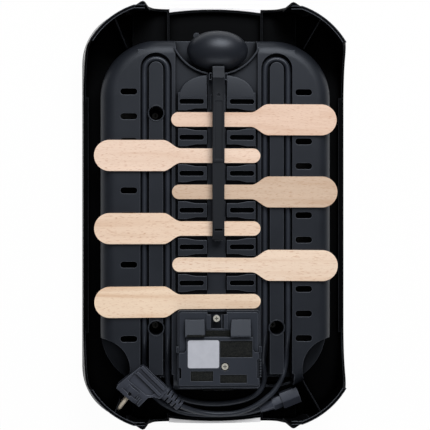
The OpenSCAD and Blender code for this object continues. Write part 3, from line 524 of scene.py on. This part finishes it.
# One tone and one grain seed for each spatula, from the ladle's end to the housing's
BEECH_TONES = [
    (0.81, 0.6, 0.475), (0.87, 0.67, 0.54), (0.65, 0.49, 0.37),
    (0.86, 0.66, 0.51), (0.88, 0.7, 0.555), (0.9, 0.71, 0.54),
]
GRAIN_SEEDS = (1, 2, 3, 4, 5, 9)
for number, (tone, seed) in enumerate(zip(BEECH_TONES, GRAIN_SEEDS), start=1):
    MATERIALS[f"beech_{number}"] = beech(f"beech_{number}", tone, seed)


def dress(piece, material):
    piece.data.materials.clear()
    piece.data.materials.append(material)


cord.data.materials.append(MATERIALS["cord_rubber"])

# ---------------------------------------------------------------- CAD nodes: finish and softened edges

WELD_DISTANCE = 1e-6
SHARP_FROM = math.radians(28)
ROUND_FROM = math.radians(35)
SPATULA_ROUND = 0.0009


def smooth_group():
    """Geometry nodes that weld a CAD mesh and shade it smooth below a given edge angle."""
    group = bpy.data.node_groups.new("weld_and_smooth", "GeometryNodeTree")
    group.interface.new_socket("Geometry", in_out="INPUT", socket_type="NodeSocketGeometry")
    group.interface.new_socket("Geometry", in_out="OUTPUT", socket_type="NodeSocketGeometry")
    add = group.nodes.new
    link = group.links.new
    start = add("NodeGroupInput")
    end = add("NodeGroupOutput")
    drop = add("GeometryNodeRemoveAttribute")
    drop.inputs["Name"].default_value = "custom_normal"
    weld = add("GeometryNodeMergeByDistance")
    weld.inputs["Distance"].default_value = WELD_DISTANCE
    faces = add("GeometryNodeSetShadeSmooth")
    faces.domain = "FACE"
    edges = add("GeometryNodeSetShadeSmooth")
    edges.domain = "EDGE"
    edges.inputs["Shade Smooth"].default_value = False
    angle = add("GeometryNodeInputMeshEdgeAngle")
    compare = add("FunctionNodeCompare")
    compare.data_type = "FLOAT"
    compare.operation = "GREATER_THAN"
    compare.inputs[1].default_value = SHARP_FROM
    link(start.outputs[0], drop.inputs["Geometry"])
    link(drop.outputs["Geometry"], weld.inputs["Geometry"])
    link(weld.outputs["Geometry"], faces.inputs["Geometry"])
    link(faces.outputs["Geometry"], edges.inputs["Geometry"])
    link(angle.outputs["Unsigned Angle"], compare.inputs[0])
    link(compare.outputs["Result"], edges.inputs["Selection"])
    link(edges.outputs["Geometry"], end.inputs[0])
    return group


SMOOTH = smooth_group()


def soften(piece, width):
    """Shades a piece smooth and rounds its sharp edges by a width, with modifiers only."""
    piece.modifiers.new("weld_and_smooth", "NODES").node_group = SMOOTH
    if width:
        bevel = piece.modifiers.new("edge_round", "BEVEL")
        bevel.width = width
        bevel.segments = 2
        bevel.limit_method = "ANGLE"
        bevel.angle_limit = ROUND_FROM
        bevel.use_clamp_overlap = True
        bevel.harden_normals = True


SLOT_OF = {s["node"]: s["material_slot"] for s in frame["record"]["subparts"]}
# Nodes whose look differs from their slot's plain finish; shield and case screws are darker as painted
# shade
FINISH_OF = {"heat_shield": "heat_shield_painted_shade", "case_screws": "case_screw_painted_shade", "housing_cover": "cover_plastic"}
# Moulded edge radius of the nodes close to the eye; the others keep their modelled edges
EDGE_ROUND = {
    "storage_tray": 0.0005, "housing_cover": 0.0005, "control_housing": 0.0004,
    "ladle_clips": 0.0003, "handle_trim_top": 0.0004, "handle_trim_bottom": 0.0004,
    "appliance_inlet": 0.0004, "rating_plate": 0.0002,
}
for name, node in nodes.items():
    slot_name = SLOT_OF[name]
    if slot_name == "beech":
        dress(node, MATERIALS[f"beech_{name[-1]}"])
        soften(node, SPATULA_ROUND)
    else:
        dress(node, MATERIALS[FINISH_OF.get(name, slot_name)])
        soften(node, EDGE_ROUND.get(name, 0))

# ---------------------------------------------------------------- fine tray pieces

# Sizes in millimetres. The tray's own dome below the ladle's neck is smaller than the real one, so a
# thin cap on either side of the neck gives its full outline.
TRAY_Z = 73
RECESS_Z = 69.5
FOOT_SINK = 0.5


def add_piece(name, bm, material):
    """Finishes a mesh as a piece of the tray that rides on the root body."""
    bmesh.ops.remove_doubles(bm, verts=bm.verts, dist=1e-7)
    bmesh.ops.recalc_face_normals(bm, faces=bm.faces)
    mesh = bpy.data.meshes.new(name)
    bm.to_mesh(mesh)
    bm.free()
    piece = new_object(name, mesh)
    dress(piece, MATERIALS[material])
    soften(piece, 0)
    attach(piece, "root")
    return piece


PLATEAU_HALF_W = 48.3
PLATEAU_LENGTH = 34.8
PLATEAU_Y = 140.0
PLATEAU_START = 147.0
PLATEAU_INNER_X = 12.8
PLATEAU_POWER = 2.6
PLATEAU_RISE = 5.25
PLATEAU_FALL = 1.6
PLATEAU_SIDE_FALL = 1.2
ROLL_RADIUS = 1.8
ROLL_SLOPE = 18


def other_axis(share):
    """Superellipse: the share of one half axis that belongs to a share of the other."""
    return max(1 - share ** PLATEAU_POWER, 0) ** (1 / PLATEAU_POWER)


def plateau_edge(x):
    """Y of the plateau's round shoulder at a distance from the middle."""
    return PLATEAU_Y + PLATEAU_LENGTH * other_axis(x / PLATEAU_HALF_W)


def plateau_height(x, y):
    """Crowned top that rolls over at the shoulder."""
    run = (y - PLATEAU_START) / (PLATEAU_Y + PLATEAU_LENGTH - PLATEAU_START)
    across = x / PLATEAU_HALF_W
    along = (y - PLATEAU_Y) / PLATEAU_LENGTH
    inside = 1 - across ** PLATEAU_POWER - along ** PLATEAU_POWER
    depth = min(max(inside, 0) * ROLL_SLOPE, ROLL_RADIUS)
    roll = ROLL_RADIUS - math.sqrt(ROLL_RADIUS ** 2 - (ROLL_RADIUS - depth) ** 2)
    crown = PLATEAU_FALL * run ** 2 + PLATEAU_SIDE_FALL * run * across ** 2
    return TRAY_Z + PLATEAU_RISE - crown - roll


def plateau_shoulder(name, side, across=36, along=18):
    """One half of the plateau below the ladle's neck, as a closed cap over the tray's own dome."""
    bm = bmesh.new()
    last_y = PLATEAU_START + 0.05
    far = PLATEAU_HALF_W * other_axis((last_y - PLATEAU_Y) / PLATEAU_LENGTH)
    tops, feet = [], []
    for i in range(across + 1):
        x = PLATEAU_INNER_X + (far - PLATEAU_INNER_X) * math.sin(math.pi / 2 * i / across)
        top_line, foot_line = [], []
        for j in range(along + 1):
            y = PLATEAU_START + (plateau_edge(x) - PLATEAU_START) * math.sin(math.pi / 2 * j / along)
            top_line.append(bm.verts.new(Vector((side * x, y, plateau_height(x, y))) * MM))
            foot_line.append(bm.verts.new(Vector((side * x, y, RECESS_Z - FOOT_SINK)) * MM))
        tops.append(top_line)
        feet.append(foot_line)
    for i in range(across):
        for j in range(along):
            for grid in (tops, feet):
                bm.faces.new((grid[i][j], grid[i + 1][j], grid[i + 1][j + 1], grid[i][j + 1]))
        for j in (0, along):
            bm.faces.new((tops[i][j], tops[i + 1][j], feet[i + 1][j], feet[i][j]))
    for j in range(along):
        for i in (0, across):
            bm.faces.new((tops[i][j], tops[i][j + 1], feet[i][j + 1], feet[i][j]))
    return add_piece(name, bm, "satin_plastic")


WELL_UPPER_Y = 126.8
WELL_LOWER_Y = -140.3
RING_INNER = 8.9
RING_OUTER = 10.5
RING_HEIGHT = 0.9
RING_SINK = 0.4
RING_ARCS = 8
RING_STEPS = 64


def ring_section():
    """Radius and height of the points round a half-round lip with a sunk foot."""
    middle = (RING_INNER + RING_OUTER) / 2
    half = (RING_OUTER - RING_INNER) / 2
    section = [(RING_INNER, -RING_SINK)]
    for i in range(RING_ARCS + 1):
        angle = math.pi * i / RING_ARCS
        section.append((middle - half * math.cos(angle), RING_HEIGHT * math.sin(angle)))
    section.append((RING_OUTER, -RING_SINK))
    return section


def well_ring(name, x, y):
    """Raised round lip of a screw well."""
    bm = bmesh.new()
    section = ring_section()
    rings = []
    for i in range(RING_STEPS):
        turn = 2 * math.pi * i / RING_STEPS
        ring = []
        for radius, z in section:
            place = (x + radius * math.cos(turn), y + radius * math.sin(turn), TRAY_Z + z)
            ring.append(bm.verts.new(Vector(place) * MM))
        rings.append(ring)
    for i in range(RING_STEPS):
        here = rings[i]
        ahead = rings[(i + 1) % RING_STEPS]
        for j in range(len(section)):
            k = (j + 1) % len(section)
            bm.faces.new((here[j], ahead[j], ahead[k], here[k]))
    return add_piece(name, bm, "satin_plastic")


for side, word in ((-1, "left"), (1, "right")):
    plateau_shoulder(f"plateau_shoulder_{word}", side)
    for y, place in ((WELL_UPPER_Y, "upper"), (WELL_LOWER_Y, "lower")):
        well_ring(f"well_ring_{place}_{word}", side * CHANNEL_X, y)

# ---------------------------------------------------------------- floor, light, world

FLOOR_SIZE = 8
FLOOR_DROP = 0.0002
FLOOR_TONE = 0.9
CAMERA_GLOW = 0.97  # share of plain white that the camera sees in the floor; the rest takes the shadow
LIGHT_AIM = (0, 0, 0.05)
WORLD_FILL = 0.06


def make_floor():
    """Pale floor: nearly white to the camera, and still keeping a soft shadow."""
    bpy.ops.mesh.primitive_plane_add(size=FLOOR_SIZE, location=(0, 0, -FLOOR_DROP))
    floor = bpy.context.object
    floor.name = "floor"
    material = bpy.data.materials.new("floor")
    material.use_nodes = True
    tree = material.node_tree
    tree.nodes.clear()
    output = tree.nodes.new("ShaderNodeOutputMaterial")
    diffuse = tree.nodes.new("ShaderNodeBsdfDiffuse")
    diffuse.inputs["Color"].default_value = (FLOOR_TONE, FLOOR_TONE, FLOOR_TONE, 1)
    glow = tree.nodes.new("ShaderNodeEmission")
    glow.inputs["Color"].default_value = (*WHITE, 1)
    glow.inputs["Strength"].default_value = 1.0
    path = tree.nodes.new("ShaderNodeLightPath")
    share = tree.nodes.new("ShaderNodeMath")
    share.operation = "MULTIPLY"
    share.inputs[1].default_value = CAMERA_GLOW
    mix = tree.nodes.new("ShaderNodeMixShader")
    tree.links.new(path.outputs["Is Camera Ray"], share.inputs[0])
    tree.links.new(share.outputs["Value"], mix.inputs["Fac"])
    tree.links.new(diffuse.outputs["BSDF"], mix.inputs[1])
    tree.links.new(glow.outputs["Emission"], mix.inputs[2])
    tree.links.new(mix.outputs["Shader"], output.inputs["Surface"])
    floor.data.materials.append(material)


def area_light(name, at, size, power):
    """White rectangular lamp that looks at the object's middle."""
    data = bpy.data.lights.new(name, "AREA")
    data.shape = "RECTANGLE"
    data.size, data.size_y = size
    data.energy = power
    lamp = new_object(name, data)
    lamp.location = at
    lamp.rotation_mode = "QUATERNION"
    lamp.rotation_quaternion = (Vector(LIGHT_AIM) - Vector(at)).to_track_quat("-Z", "Y")
    return lamp


def make_world():
    """White behind the object for the camera, and a dim white fill for everything else."""
    world = bpy.data.worlds.new("world")
    scene.world = world
    world.use_nodes = True
    tree = world.node_tree
    background = tree.nodes["Background"]
    background.inputs["Color"].default_value = (*WHITE, 1)
    path = tree.nodes.new("ShaderNodeLightPath")
    strength = tree.nodes.new("ShaderNodeMapRange")
    strength.inputs["To Min"].default_value = WORLD_FILL
    strength.inputs["To Max"].default_value = 1.0
    tree.links.new(path.outputs["Is Camera Ray"], strength.inputs["Value"])
    tree.links.new(strength.outputs["Result"], background.inputs["Strength"])


make_floor()
make_world()
area_light("key", (0.35, 1.6, 1.75), (1.35, 1.5), 53)
area_light("rim", (0.2, -2.0, 0.95), (2.0, 0.9), 11)
overhead = area_light("overhead", (-0.1, -0.35, 2.3), (2.6, 2.6), 15)
overhead.visible_glossy = False  # fills the faces without a sheen on the plastic
scene.view_settings.view_transform = "Standard"
